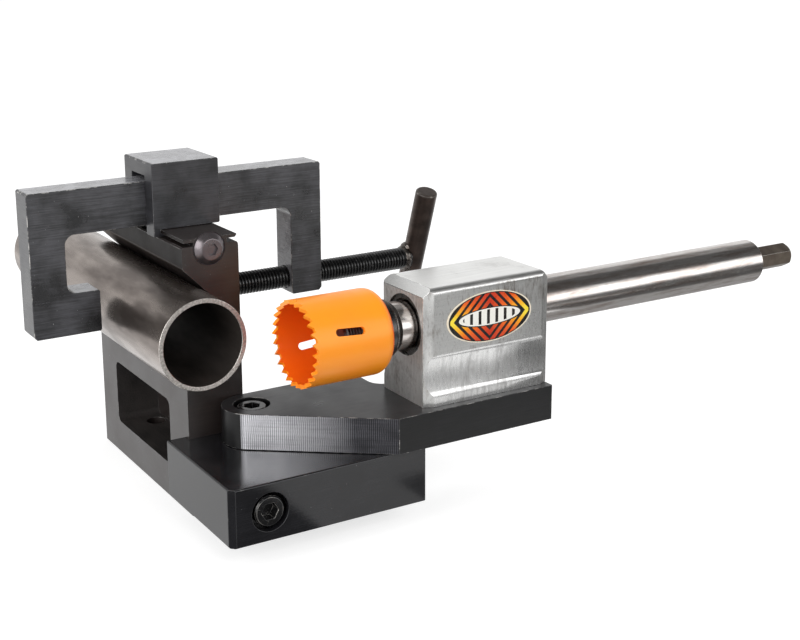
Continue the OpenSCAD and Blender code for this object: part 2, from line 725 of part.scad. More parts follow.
module hole_saw() place() color([1, 0.55, 0.12]) along_x([saw_tip_x, -spindle_out, axis_z]) difference() {
    saw_cup();
    for (i = [0 : teeth - 1]) rotate([0, 0, 360 * i / teeth])
        translate([saw_d / 2 - 2 * saw_wall, 0, 0]) rotate([90, 0, 90]) linear_extrude(3 * saw_wall)
            polygon([[-tooth_w / 2, -cut], [tooth_w / 2 - seat, -cut], [tooth_w / 2 - seat, 0],
                [tooth_lean_share * tooth_w, gullet], [0, gullet], [-tooth_w / 2, 0]]);
    for (i = [0, 1]) rotate([0, 0, 90 + (90 - slot_angle) - 90 + 180 * i])
        translate([0, 0, slot_from_tip + slot_len / 2]) rotate([0, 90, 0]) rotate([0, 0, slot_lean])
            linear_extrude(saw_d) slot_shape(slot_len, slot_w);
}

// ---- clamp on the rail

module guide_block() place() color([0.24, 0.24, 0.25]) difference() {
    k = guide_bevel;
    front_outline([[guide_x0, hook_z0], [guide_x0 + guide_leg + hook_reach, hook_z0],
        [guide_x0 + guide_leg + hook_reach, hook_z1], [guide_x0 + guide_leg, hook_z1],
        [guide_x0 + guide_leg, guide_z0], [guide_x1 - k, guide_z0], [guide_x1, guide_z0 + k],
        [guide_x1, guide_z1 - k], [guide_x1 - k, guide_z1], [guide_x0 + k, guide_z1],
        [guide_x0, guide_z1 - k]], guide_y, guide_d);
    translate([guide_x0 - cut, clamp_y - guide_slot / 2, hook_z0 - cut])
        cube([guide_w + 2 * cut, guide_slot, slot_z1 - hook_z0 + cut]);
}

module clamp_frame() place() color([0.26, 0.26, 0.27]) difference() {
    k = yoke_chamfer;
    a = yoke_x0 + yoke_leg;
    b = yoke_x1 - yoke_leg;
    front_outline(concat(
        [[yoke_x0 + k, jaw_z0], [jaw_x - k / 2, jaw_z0], [jaw_x, jaw_z0 + k / 2],
         [jaw_x, jaw_z1 - k / 2], [jaw_x - k / 2, jaw_z1]],
        arc([a + yoke_r, jaw_z1 + yoke_r], yoke_r, 270, 180, 8),
        arc([a + yoke_r, bar_z0 - yoke_r], yoke_r, 180, 90, 8),
        arc([b - yoke_r, bar_z0 - yoke_r], yoke_r, 90, 0, 8),
        [[b, leg_z0 + k / 2], [b + k / 2, leg_z0], [yoke_x1 - k, leg_z0], [yoke_x1, leg_z0 + k],
         [yoke_x1, yoke_z1 - k / 2], [yoke_x1 - k / 2, yoke_z1], [yoke_x0 + k / 2, yoke_z1],
         [yoke_x0, yoke_z1 - k / 2], [yoke_x0, jaw_z0 + k]]), yoke_y0, yoke_t);
    along_x([b - cut, clamp_y, screw_z]) cylinder(d = screw_d + 2 * fit, h = yoke_leg + 2 * cut);
}

module clamp_screw() place() color([0.1, 0.1, 0.11]) difference() {
    along_x([screw_x0, clamp_y, screw_z])
        threaded_rod(screw_d, screw_pitch, thread_depth, turns, screw_x1 - screw_x0, screw_bevel);
    translate([handle_x, clamp_y, screw_z]) rotate([handle_lean, 0, 0])
        cylinder(d = handle_d + 2 * sink, h = handle_len, center = true);
}

module screw_handle() place() color([0.16, 0.14, 0.13])
    translate([handle_x, clamp_y, screw_z]) rotate([handle_lean, 0, 0]) translate([0, 0, -handle_len / 2])
        rotate_extrude() polygon([[0, 0], [handle_d / 2 - handle_bevel, 0], [handle_d / 2, handle_bevel],
            [handle_d / 2, handle_len - handle_bevel], [handle_d / 2 - handle_bevel, handle_len],
            [0, handle_len]]);

module weld_bead() place() color([0.2, 0.18, 0.17])
    along_x([handle_x - handle_d / 2 - weld_len, clamp_y, screw_z])
        rotate_extrude() polygon([[screw_d / 2 + sink, 0], [screw_d / 2 + weld_h / 2, weld_len / 3],
            [screw_d / 2 + weld_h, weld_len], [screw_d / 2 + sink, weld_len]]);

// ---- clamped tube

module workpiece_tube() place() color([0.55, 0.52, 0.5])
    along_y([tube_x, -tube_front, axis_z]) difference() {
        cylinder(d = tube_d, h = tube_len, $fn = 96);
        translate([0, 0, -cut]) cylinder(d = tube_d - 2 * tube_wall, h = tube_len + 2 * cut, $fn = 96);
    }

upright_body();
base_block();
base_screw();
dowel_pins();
rail_stop_screw();
pivot_screw();
pivot_washer();
pivot_bush();
pivot_nut();
swing_arm();
bearing_block();
block_screws();
shell_left();
shell_right();
ring_left();
ring_right();
badge_plate();
cage_left();
cage_right();
spindle_shaft();
spacer_collar();
hole_saw();
guide_block();
clamp_frame();
clamp_screw();
screw_handle();
weld_bead();
workpiece_tube();
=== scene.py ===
"""Tube notcher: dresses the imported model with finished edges, a cut thread and shop finishes."""

import math

import bmesh
import bpy
from bpy.props import FloatProperty, IntProperty, PointerProperty, StringProperty
from mathutils import Matrix, Vector, noise


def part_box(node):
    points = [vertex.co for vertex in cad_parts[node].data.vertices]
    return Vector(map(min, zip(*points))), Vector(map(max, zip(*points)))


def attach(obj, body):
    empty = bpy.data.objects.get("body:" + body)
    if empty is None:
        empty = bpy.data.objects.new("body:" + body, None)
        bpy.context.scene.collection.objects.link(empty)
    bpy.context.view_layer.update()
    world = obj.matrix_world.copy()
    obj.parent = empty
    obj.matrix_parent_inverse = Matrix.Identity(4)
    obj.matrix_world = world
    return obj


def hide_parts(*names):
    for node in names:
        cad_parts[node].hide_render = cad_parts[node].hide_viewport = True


bl_info = {
    "name": "Tube Notcher",
    "version": (1, 0, 0),
    "blender": (4, 5, 0),
    "location": "View3D > Sidebar > Tube Notcher",
    "description": "Builds the finished pieces of a bench tube notcher round its packed frame",
    "category": "Add Mesh",
}

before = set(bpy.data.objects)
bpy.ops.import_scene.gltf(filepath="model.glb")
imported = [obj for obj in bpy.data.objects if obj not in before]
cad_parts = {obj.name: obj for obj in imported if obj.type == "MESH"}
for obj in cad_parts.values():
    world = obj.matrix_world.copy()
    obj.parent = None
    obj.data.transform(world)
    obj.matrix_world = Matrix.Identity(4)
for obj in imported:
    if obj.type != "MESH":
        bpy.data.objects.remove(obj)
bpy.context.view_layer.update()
MM = 0.001
FULL_TURN = 2 * math.pi
WELD_DIST = 1e-6
# a face looks along an axis from this share of its normal on
FACING = 0.9


def corners(name):
    """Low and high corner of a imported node's box."""
    low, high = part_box(name)
    return Vector(low), Vector(high)


def middle(name):
    """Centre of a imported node's box."""
    low, high = corners(name)
    return (low + high) / 2


# ---- node trees


def feed(tree, node, inputs):
    """Fills a node's inputs, by name or in order. A node is linked by its first output in use."""
    for key, value in inputs.items() if isinstance(inputs, dict) else enumerate(inputs):
        if isinstance(value, bpy.types.Node):
            value = next(output for output in value.outputs if output.enabled)
        if isinstance(value, bpy.types.NodeSocket):
            tree.links.new(value, node.inputs[key])
        else:
            node.inputs[key].default_value = value


def put(tree, kind, inputs=(), stops=(), **settings):
    """Adds a shader node with its settings and links. stops fills a colour ramp."""
    made = tree.nodes.new("ShaderNode" + kind)
    for key, value in settings.items():
        setattr(made, key, value)
    if stops:
        ramp = made.color_ramp
        while len(ramp.elements) < len(stops):
            ramp.elements.new(0.5)
        for element, (place, colour) in zip(ramp.elements, stops):
            element.position = place
            element.color = colour
    feed(tree, made, inputs)
    return made


def paint(code):
    """sRGB hex to a linear colour."""
    parts = [int(code[i : i + 2], 16) / 255 for i in (0, 2, 4)]
    return (*[p / 12.92 if p <= 0.04045 else ((p + 0.055) / 1.055) ** 2.4 for p in parts], 1.0)


def grey(level):
    return (level, level, level, 1.0)


def finish_of(name):
    """A new material and its tree, with the principled shader and the output in place."""
    mat = bpy.data.materials.new(name)
    mat.use_nodes = True
    tree = mat.node_tree
    tree.nodes.clear()
    shader = put(tree, "BsdfPrincipled")
    put(tree, "OutputMaterial", {"Surface": shader})
    return mat, tree, shader


def grain(tree, per_mm, detail=4.0, rough=0.6, at=(0, 0, 0)):
    """Noise on the object's own coordinates, with so many cells per millimetre along X, Y and Z."""
    where = put(tree, "TexCoord").outputs["Object"]
    scaled = put(tree, "Mapping", {"Vector": where, "Location": at, "Scale": [s / MM for s in per_mm]})
    return put(tree, "TexNoise", {"Vector": scaled, "Scale": 1.0, "Detail": detail, "Roughness": rough})


# ---- finishes


def black_oxide(name, dark, pale, brush, rough, nicks=0.74, blotch=0.03, gloss=1.55):
    """Oiled black oxide on milled steel: near black face on, grey where the studio glances off it.

    Fine cutter marks run through the film across brush, and nicks show the steel, fewer as nicks rises.
    """
    mat, tree, shader = finish_of(name)
    marks = grain(tree, brush, 5.0, 0.7)
    cloud = grain(tree, (blotch, blotch, blotch), 4.0, 0.62)
    specks = grain(tree, (0.9, 0.9, 0.9), 2.0, 0.5)
    tone = put(tree, "Math", (marks, cloud), operation="MULTIPLY")
    share = put(tree, "MapRange", (tone, 0.18, 0.34))
    film = put(tree, "Mix", {0: share, 6: paint(dark), 7: paint(pale)}, data_type="RGBA")
    bare = put(tree, "MapRange", (specks, nicks, nicks + 0.03))
    feed(tree, shader, {
        "Base Color": put(tree, "Mix", {0: bare, 6: film, 7: paint("8c8c8e")}, data_type="RGBA"),
        "IOR": gloss,
        "Roughness": put(tree, "MapRange", (cloud, 0.3, 0.7, *rough)),
        "Normal": put(tree, "Bump", {"Height": marks, "Distance": 0.02 * MM, "Strength": 0.7}),
    })
    return mat


def worn_edge(name, film, bare, cover):
    """The edge of an oxidised block, rubbed through to bright steel in short runs, fewer as cover rises."""
    mat, tree, shader = finish_of(name)
    rubbed = grain(tree, (0.16, 0.16, 0.16), 5.0, 0.7)
    share = put(tree, "MapRange", (rubbed, cover, cover + 0.12))
    feed(tree, shader, {
        "Base Color": put(tree, "Mix", {0: share, 6: paint(film), 7: paint(bare)}, data_type="RGBA"),
        "Metallic": put(tree, "MapRange", (share, 0.0, 1.0, 0.1, 0.8)),
        "Roughness": put(tree, "MapRange", (share, 0.0, 1.0, 0.4, 0.34)),
    })
    return mat


def cutter_marked(name, slant, rise, fall):
    """Side of the arm as the end mill left it: upright chatter lines, thinly oxidised.

    slant is the side's angle to X. Between rise and fall, two pairs of places along X, the side is
    painted as bright bare steel: a painted sheen that rises across the first pair and fades across the
    second.
    """
    mat, tree, shader = finish_of(name)
    where = put(tree, "TexCoord").outputs["Object"]
    turned = put(tree, "Mapping", {"Vector": where, "Rotation": (0, 0, slant),
                                   "Scale": (1 / MM, 1 / MM, 1 / MM)})
    waves = {"Vector": turned, "Scale": 0.3, "Distortion": 3.5, "Detail": 3.0, "Detail Scale": 0.5,
             "Detail Roughness": 0.6}
    lines = put(tree, "TexWave", waves, wave_type="BANDS", bands_direction="X").outputs["Fac"]
    rows = grain(tree, (0.03, 0.03, 0.9), 4.0, 0.7)
    cloud = grain(tree, (0.06, 0.06, 0.12), 3.0, 0.6)
    mixed = put(tree, "Math", (lines, rows), operation="MULTIPLY")
    tone = put(tree, "Math", (mixed, cloud), operation="MULTIPLY")
    # painted sheen along X: between rise and fall the side is painted as bright bare steel, with more metal
    along = put(tree, "SeparateXYZ", (where,)).outputs["X"]
    risen = put(tree, "MapRange", (along, *rise))
    fallen = put(tree, "MapRange", (along, *fall, 1.0, 0.0))
    # share of the painted sheen
    rubbed = put(tree, "Math", (risen, fallen), operation="MULTIPLY")
    dim = put(tree, "MapRange", (tone, 0.04, 0.30))
    lit = put(tree, "MapRange", (tone, 0.0, 0.22))
    filmed = put(tree, "Mix", {0: dim, 6: paint("242427"), 7: paint("56565c")}, data_type="RGBA")
    bare = put(tree, "Mix", {0: lit, 6: paint("a2a2a8"), 7: paint("ececf0")}, data_type="RGBA")
    feed(tree, shader, {
        "Base Color": put(tree, "Mix", {0: rubbed, 6: filmed, 7: bare}, data_type="RGBA"),
        "IOR": 1.55,
        "Metallic": put(tree, "MapRange", (rubbed, 0.0, 1.0, 0.4, 0.95)),
        "Roughness": put(tree, "MapRange", (rows, 0.3, 0.7, 0.3, 0.45)),
        "Normal": put(tree, "Bump", {"Height": mixed, "Distance": 0.05 * MM, "Strength": 0.35}),
    })
    return mat


def screw_black(name, base, rough, cover, gloss=1.7):
    """Heat-blackened alloy screw: oily and smooth, with specks of steel, fewer as cover rises."""
    mat, tree, shader = finish_of(name)
    specks = grain(tree, (0.5, 0.5, 0.5), 4.0, 0.6)
    share = put(tree, "MapRange", (specks, cover, cover + 0.12))
    feed(tree, shader, {
        "Base Color": put(tree, "Mix", {0: share, 6: paint(base), 7: paint("6a6866")}, data_type="RGBA"),
        "IOR": gloss,
        "Roughness": put(tree, "MapRange", (specks, 0.3, 0.7, rough - 0.06, rough + 0.1)),
        "Normal": put(tree, "Bump", {"Height": specks, "Distance": 0.02 * MM, "Strength": 0.4}),
    })
    return mat


def milled_aluminium(name, base, stain, lines, spots, onset, rough=(0.26, 0.42)):
    """Bare aluminium off the mill: bright, with fine tool lines, fingerprints and water stains.

    The stains set in between the two noise levels of onset.
    """
    mat, tree, shader = finish_of(name)
    tool = grain(tree, lines, 4.0, 0.7)
    drift = grain(tree, (0.05, 0.05, 0.04), 4.0, 0.6)
    fine = grain(tree, spots, 6.0, 0.75)
    patch = put(tree, "Math", (drift, fine), operation="ADD")
    share = put(tree, "MapRange", (patch, 2 * onset[0], 2 * onset[1]))
    score = put(tree, "MapRange", (tool, 0.35, 0.7, 0.0, 0.35))
    scored = put(tree, "Mix", {0: score, 6: paint(base), 7: paint("9b9b9a")}, data_type="RGBA")
    feed(tree, shader, {
        "Base Color": put(tree, "Mix", {0: share, 6: scored, 7: paint(stain)}, data_type="RGBA"),
        "Metallic": 1.0,
        "Roughness": put(tree, "MapRange", (patch, 0.8, 1.3, *rough)),
        "Normal": put(tree, "Bump", {"Height": tool, "Distance": 0.01 * MM, "Strength": 0.6}),
    })
    return mat


def ground_steel(name):
    """Centreless-ground steel bar: fine rings round the axis and a soft mirror along it."""
    mat, tree, shader = finish_of(name)
    rings = grain(tree, (5.0, 0.02, 0.02), 3.0, 0.6)
    haze = grain(tree, (0.04, 0.3, 0.3), 5.0, 0.66)
    share = put(tree, "MapRange", (haze, 0.42, 0.68))
    feed(tree, shader, {
        "Base Color": put(tree, "Mix", {0: share, 6: paint("d0ccc9"), 7: paint("a99c95")}, data_type="RGBA"),
        "Metallic": 1.0,
        "Roughness": put(tree, "MapRange", (haze, 0.3, 0.7, 0.16, 0.22)),
        "Normal": put(tree, "Bump", {"Height": rings, "Distance": 0.004 * MM, "Strength": 0.5}),
    })
    return mat


def mill_scale(name, base="968c85", dark="5f554f", rough=(0.2, 0.34), metallic=0.92):
    """Drawn steel as it comes: brown-grey oxide, faint draw lines along Y, smudges from handling."""
    mat, tree, shader = finish_of(name)
    draw = grain(tree, (0.9, 0.006, 0.9), 5.0, 0.65)
    smudge = grain(tree, (0.05, 0.014, 0.05), 3.0, 0.5)
    rub = grain(tree, (0.12, 0.03, 0.12), 3.0, 0.5, (3, 7, 1))
    stained = put(tree, "Math", (smudge, rub), operation="ADD")
    share = put(tree, "MapRange", (stained, 0.8, 1.25))
    feed(tree, shader, {
        "Base Color": put(tree, "Mix", {0: share, 6: paint(base), 7: paint(dark)}, data_type="RGBA"),
        "Metallic": metallic,
        "Roughness": put(tree, "MapRange", (stained, 0.7, 1.3, *rough)),
        "Normal": put(tree, "Bump", {"Height": draw, "Distance": 0.006 * MM, "Strength": 0.4}),
    })
    return mat


def saw_enamel(name, colour, deep, rough=0.34):
    """Baked orange enamel on the saw's cup: smooth, thick, a little orange peel."""
    mat, tree, shader = finish_of(name)
    peel = grain(tree, (1.1, 1.1, 1.1), 2.0, 0.5)
    drift = grain(tree, (0.04, 0.04, 0.04), 3.0, 0.5)
    share = put(tree, "MapRange", (drift, 0.3, 0.7, 0.0, 0.6))
    feed(tree, shader, {
        "Base Color": put(tree, "Mix", {0: share, 6: paint(colour), 7: paint(deep)}, data_type="RGBA"),
        "IOR": 1.5,
        "Roughness": put(tree, "MapRange", (drift, 0.3, 0.7, rough - 0.04, rough + 0.08)),
        "Normal": put(tree, "Bump", {"Height": peel, "Distance": 0.02 * MM, "Strength": 0.35}),
    })
    return mat


def bright_steel(name, base, rough=0.3, cells=(0.8, 0.8, 0.8)):
    """Freshly cut or turned steel: bright, with a fine tool grain."""
    mat, tree, shader = finish_of(name)
    tool = grain(tree, cells, 4.0, 0.6)
    share = put(tree, "MapRange", (tool, 0.35, 0.75))
    feed(tree, shader, {
        "Base Color": put(tree, "Mix", {0: share, 6: paint(base), 7: paint("77736f")}, data_type="RGBA"),
        "Metallic": 1.0,
        "Roughness": put(tree, "MapRange", (tool, 0.3, 0.7, rough - 0.06, rough + 0.1)),
        "Normal": put(tree, "Bump", {"Height": tool, "Distance": 0.01 * MM, "Strength": 0.5}),
    })
    return mat


def bronze(name):
    """Oiled bearing bronze, turned."""
    mat, tree, shader = finish_of(name)
    tool = grain(tree, (0.05, 0.05, 4.0), 3.0, 0.6)
    share = put(tree, "MapRange", (tool, 0.3, 0.7))
    feed(tree, shader, {
        "Base Color": put(tree, "Mix", {0: share, 6: paint("a9843f"), 7: paint("7d5c28")}, data_type="RGBA"),
        "Metallic": 1.0,
        "Roughness": 0.35,
        "Normal": put(tree, "Bump", {"Height": tool, "Distance": 0.01 * MM, "Strength": 0.5}),
    })
    return mat


def badge_print(name, centre, half_w, half_h):
    """Printed vinyl: a pale lens with a row of bars on sunset stripes, black ground and a thin pale rim."""
    mat, tree, shader = finish_of(name)
    where = put(tree, "TexCoord").outputs["Object"]
    # the oval becomes a circle of radius 1 round the origin
    unit = put(tree, "Mapping", {"Vector": where, "Location": (-centre.x / half_w, 0.0, -centre.z / half_h),
                                 "Scale": (1 / half_w, 0.0, 1 / half_h)})
    axes = put(tree, "SeparateXYZ", (unit,)).outputs
    across, up = axes["X"], axes["Z"]
    reach = put(tree, "VectorMath", (unit,), operation="LENGTH").outputs["Value"]
    side = put(tree, "Math", (across,), operation="ABSOLUTE")
    level = put(tree, "Math", (up,), operation="ABSOLUTE")

    # stripes lean outwards from the middle and brighten towards the sides
    lean = put(tree, "Math", (side, 2.0, level), operation="MULTIPLY_ADD")
    steps = put(tree, "Math", (lean, 2.6), operation="MULTIPLY")
    stripe = put(tree, "Math", (steps,), operation="FRACT")
    inward = put(tree, "Math", (1.0, level), operation="SUBTRACT")
    glow = put(tree, "Math", (inward, side), operation="MULTIPLY")
    heat = put(tree, "ValToRGB", (glow,), stops=[(0.0, paint("c9300c")), (0.2, paint("f0640f")),
                                                 (0.45, paint("ffae17")), (0.75, paint("ffe23c"))])

    # a pale, black-rimmed lens across the middle, with upright bars inside
    wide = put(tree, "Math", (across, across), operation="MULTIPLY")
    tall = put(tree, "Math", (up, up), operation="MULTIPLY")
    tall = put(tree, "Math", (tall, 7.5), operation="MULTIPLY")
    lens = put(tree, "Math", (wide, 1.55, tall), operation="MULTIPLY_ADD")
    rows = put(tree, "Math", (across, 5.0), operation="MULTIPLY")
    rows = put(tree, "Math", (rows,), operation="FRACT")
    bars = put(tree, "Math", (rows, 0.66), operation="GREATER_THAN")
    inner = put(tree, "Math", (lens, 0.62), operation="LESS_THAN")
    barred = put(tree, "Math", (inner, bars), operation="MULTIPLY")

    # from the ground up: stripes, the lens and its rim, its bars, then a black and a thin pale rim
    ground = paint("0c0a0a")
    for share, colour in (
        (put(tree, "Math", (stripe, 0.42), operation="GREATER_THAN"), heat),
        (put(tree, "Math", (lens, 1.0), operation="LESS_THAN"), paint("0d0c0c")),
        (put(tree, "Math", (lens, 0.82), operation="LESS_THAN"), paint("f6f4ec")),
        (barred, paint("17120f")),
        (put(tree, "Math", (reach, 0.93), operation="GREATER_THAN"), paint("0c0a0a")),
        (put(tree, "Math", (reach, 0.965), operation="GREATER_THAN"), paint("f2e6cf")),
    ):
        ground = put(tree, "Mix", {0: share, 6: ground, 7: colour}, data_type="RGBA")
    scuff = grain(tree, (0.2, 0.2, 0.2), 4.0, 0.6)
    feed(tree, shader, {
        "Base Color": ground,
        "Roughness": put(tree, "MapRange", (scuff, 0.3, 0.7, 0.2, 0.4)),
    })
    return mat


# ---- shapes


def merged_copy(name):
    """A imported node's mesh as a bmesh: doubles merged, and flat faces whole again."""
    made = bmesh.new()
    made.from_mesh(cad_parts[name].data)
    bmesh.ops.remove_doubles(made, verts=made.verts, dist=2 * WELD_DIST)
    bmesh.ops.dissolve_limit(made, angle_limit=math.radians(0.5), verts=made.verts, edges=made.edges)
    return made


def break_edges(made, width, segments=3, sharp=32.0, keep=None):
    """Rounds the sharp edges by width, in millimetres, and gives the new faces the second material."""
    edges = [e for e in made.edges if len(e.link_faces) == 2 and e.calc_face_angle(0.0) > math.radians(sharp)
             and (keep is None or keep((e.verts[0].co + e.verts[1].co) / 2))]
    bmesh.ops.bevel(made, geom=edges, offset=width * MM, offset_type="OFFSET", segments=segments,
                    profile=0.5, affect="EDGES", clamp_overlap=True, material=1, loop_slide=True)


def choose(made, picker):
    """Sets the material of each face that isn't an edge, from its middle and its normal."""
    for face in made.faces:
        if face.material_index == 0:
            face.material_index = picker(face.calc_center_median(), face.normal)


def cut_plane(made, x, side, clear=False):
    """Cuts the mesh at x, and clears what lies past it on that side."""
    bmesh.ops.bisect_plane(made, geom=made.verts[:] + made.edges[:] + made.faces[:], plane_co=(x, 0, 0),
                           plane_no=(side, 0, 0), clear_outer=clear)


def spin_profile(made, points, axis, turns, steps, lead=0.0, join=False):
    """Turns a run of points round the X axis through axis, carried on by lead each turn."""
    verts = [made.verts.new(p) for p in points]
    edges = [made.edges.new(pair) for pair in zip(verts, verts[1:])]
    bmesh.ops.spin(made, geom=verts + edges, cent=axis, axis=(1, 0, 0), dvec=(lead / steps, 0, 0),
                   angle=FULL_TURN * turns, steps=steps * turns, use_merge=join)
    bmesh.ops.remove_doubles(made, verts=made.verts, dist=WELD_DIST)


def close_ends(made):
    rims = [e for e in made.edges if len(e.link_faces) == 1]
    bmesh.ops.holes_fill(made, edges=rims, sides=0)
    bmesh.ops.recalc_face_normals(made, faces=made.faces)


def from_axis(at, axis):
    """Offset of a place from an axis that runs along X."""
    return Vector((0, at.y - axis.y, at.z - axis.z))


def piece(made, name, body, mats, replaced, flat_angle=38.0, weighted=True):
    """Turns a bmesh into a finished object that rides on a body."""
    mesh = bpy.data.meshes.new(name)
    made.to_mesh(mesh)
    made.free()
    for mat in mats:
        mesh.materials.append(mat)
    mesh.polygons.foreach_set("use_smooth", [True] * len(mesh.polygons))
    mesh.set_sharp_from_angle(angle=math.radians(flat_angle))
    made_object = bpy.data.objects.new(name, mesh)
    bpy.context.scene.collection.objects.link(made_object)
    if weighted:
        flats = made_object.modifiers.new("Flats", "WEIGHTED_NORMAL")
        flats.keep_sharp = True
        flats.weight = 60
    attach(made_object, body)
    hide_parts(*replaced)
    return made_object


def dressed(name, body, mats, slot, width, picker=None, **breaks):
    """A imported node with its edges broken, and its faces sorted by finish where there's a picker."""
    made = merged_copy(name)
    break_edges(made, width, **breaks)
    if picker:
        choose(made, picker)
    return piece(made, name.capitalize(), body, mats, [name])


def refinish(mat, *names):
    """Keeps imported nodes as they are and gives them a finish."""
    for name in names:
        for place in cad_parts[name].material_slots:
            place.material = mat


# ---- stage

# the photograph's viewpoint in the part's frame: place, turns in degrees, lens shift in sensor widths,
# and the sensor's width in millimetres
EYE = (-0.275654, -0.673685, 0.306016)
YAW, PITCH, ROLL = 28.201, 12.82, -1.152
SHIFT_X, SHIFT_Y = 0.12653, -0.11596
SENSOR = 36.0

FLOOR_REACH = 6.0

# soft lights that point at AIM: name, place, width and height, share of the key light's power, and
# whether reflections see them
LIGHTS = (
    ("Front bank", (0.25, -1.15, 0.85), (1.3, 0.35), 1.0, False),
    ("Left bank", (-1.1, -0.5, 0.55), (0.9, 0.9), 1.5, True),
    ("Top bank", (0.0, 0.35, 1.3), (1.6, 0.7), 0.8, False),
)
AIM = (0.05, -0.04, 0.09)

# cards that only reflections see: name, centre, turns about X and Z in degrees, width and depth, strength
CARDS = (
    ("Ceiling card", (0.7, -0.7, 1.2), (0, 0), (3.8, 1.5), 0.11),
    ("Rear ceiling card", (0.7, 0.45, 1.2), (0, 0), (3.8, 0.8), 0.35),
    ("Middle floor card", (0.235, -0.85, 0.002), (0, 0), (0.37, 1.1), 0.45),
    ("Right floor card", (1.235, -0.85, 0.002), (0, 0), (1.63, 1.1), 0.15),
    ("Near floor card", (0.71, -0.245, 0.001), (0, 0), (0.88, 0.11), 0.12),
    ("Under floor card", (0.625, -0.1, 0.001), (0, 0), (1.05, 0.18), 0.4),
    ("Left floor card", (-0.0475, -0.3, 0.001), (0, 0), (0.165, 0.36), 0.12),
    ("Front bank card", (0.95, -1.45, 0.44), (90, 28), (2.4, 0.62), 2.4),
)


def staged(made, name, mat, mirror_only=False):
    """Turns a bmesh into an object of the stage."""
    mesh = bpy.data.meshes.new(name)
    made.to_mesh(mesh)
    made.free()
    mesh.materials.append(mat)
    held = bpy.data.objects.new(name, mesh)
    bpy.context.scene.collection.objects.link(held)
    if mirror_only:
        held.visible_camera = held.visible_diffuse = held.visible_shadow = False
        held.visible_transmission = False


def white_room(level):
    """Surroundings that are white for the camera and for reflections, and calmer as a light."""
    world = bpy.data.worlds.new("White room")
    world.use_nodes = True
    tree = world.node_tree
    tree.nodes.clear()
    ray = put(tree, "LightPath").outputs
    seen = put(tree, "Math", (ray["Is Camera Ray"], ray["Is Transmission Ray"]), operation="MAXIMUM")
    as_light = put(tree, "MapRange", (ray["Is Glossy Ray"], 0.0, 1.0, level, 1.0))
    strength = put(tree, "MapRange", (seen, 0.0, 1.0, as_light, 1.0))
    glow = put(tree, "Background", {"Color": grey(1.0), "Strength": strength})
    put(tree, "OutputWorld", {"Surface": glow})
    return world


def paper_floor():
    """Floor of half lit, half glowing paper, so the shadow stays soft."""
    paper, tree, shader = finish_of("white paper")
    ray = put(tree, "LightPath").outputs
    seen = put(tree, "Math", (ray["Is Camera Ray"], ray["Is Glossy Ray"]), operation="MAXIMUM")
    lift = put(tree, "Math", (seen, 0.72), operation="MULTIPLY")
    feed(tree, shader, {"Base Color": grey(0.45), "Roughness": 0.9, "Emission Color": grey(1.0),
                        "Emission Strength": lift})
    made = bmesh.new()
    bmesh.ops.create_grid(made, x_segments=1, y_segments=1, size=FLOOR_REACH)
    staged(made, "Floor", paper)


def soft_light(name, place, size, power, mirrored):
    lamp = bpy.data.lights.new(name, "AREA")
    lamp.shape, lamp.size, lamp.size_y = "RECTANGLE", *size
    lamp.energy = power
    holder = bpy.data.objects.new(name, lamp)
    holder.location = place
    holder.rotation_euler = (Vector(AIM) - Vector(place)).to_track_quat("-Z", "Y").to_euler()
    holder.visible_glossy = mirrored
    bpy.context.scene.collection.objects.link(holder)


def card(name, place, turn, size, shine):
    mat, tree, shader = finish_of(name)
    feed(tree, shader, {"Base Color": grey(0.0), "Specular IOR Level": 0.0, "Emission Color": grey(1.0),
                        "Emission Strength": shine})
    made = bmesh.new()
    bmesh.ops.create_grid(made, x_segments=1, y_segments=1, size=0.5)
    bmesh.ops.scale(made, vec=(*size, 1.0), verts=made.verts)
    for axis, degrees in zip("XZ", turn):
        bmesh.ops.rotate(made, cent=(0, 0, 0), matrix=Matrix.Rotation(math.radians(degrees), 3, axis),
                         verts=made.verts)
    bmesh.ops.translate(made, vec=place, verts=made.verts)
    staged(made, name, mat, mirror_only=True)


def photo_camera(focal):
    """The camera at the photograph's own viewpoint."""
    yaw, pitch, roll = (math.radians(a) for a in (YAW, PITCH, ROLL))
    flat = math.cos(pitch)
    ahead = Vector((math.sin(yaw) * flat, math.cos(yaw) * flat, -math.sin(pitch)))
    right = Vector((math.cos(yaw), -math.sin(yaw), 0.0))
    up = right.cross(ahead)
    right, up = right * math.cos(roll) + up * math.sin(roll), up * math.cos(roll) - right * math.sin(roll)
    lens = bpy.data.cameras.new("Camera")
    lens.lens, lens.sensor_width = focal, SENSOR
    lens.shift_x, lens.shift_y = SHIFT_X, SHIFT_Y
    lens.clip_end = 20.0
    eye = bpy.data.objects.new("Camera", lens)
    eye.matrix_world = Matrix.Translation(EYE) @ Matrix((right, up, -ahead)).transposed().to_4x4()
    bpy.context.scene.collection.objects.link(eye)
    return eye


# ---- properties


class NOTCHER_PG_steel(bpy.types.PropertyGroup):
    edge: FloatProperty(name="Edge break", description="Width of the blocks' broken edges, in millimetres",
                        default=0.32, min=0.1, max=1.0)
    face: StringProperty(name="Oxide", description="Hex colour of the guide's oxide film", default="141416")
    pale: StringProperty(name="Rubbed oxide", description="Hex colour of the guide's film where it is rubbed",
                         default="313135")
    brown: StringProperty(name="Brown oxide", description="Hex colour of the upright's browner film",
                          default="211b1a")


class NOTCHER_PG_thread(bpy.types.PropertyGroup):
    pitch: FloatProperty(name="Pitch", description="Pitch of the clamp screw, in millimetres",
                         default=1.954, min=1.0, max=3.0)
    depth: FloatProperty(name="Depth", description="Depth of the thread, in millimetres",
                         default=1.17, min=0.3, max=2.0)
    steps: IntProperty(name="Steps per turn", description="Faces round the thread",
                       default=28, min=12, max=64)


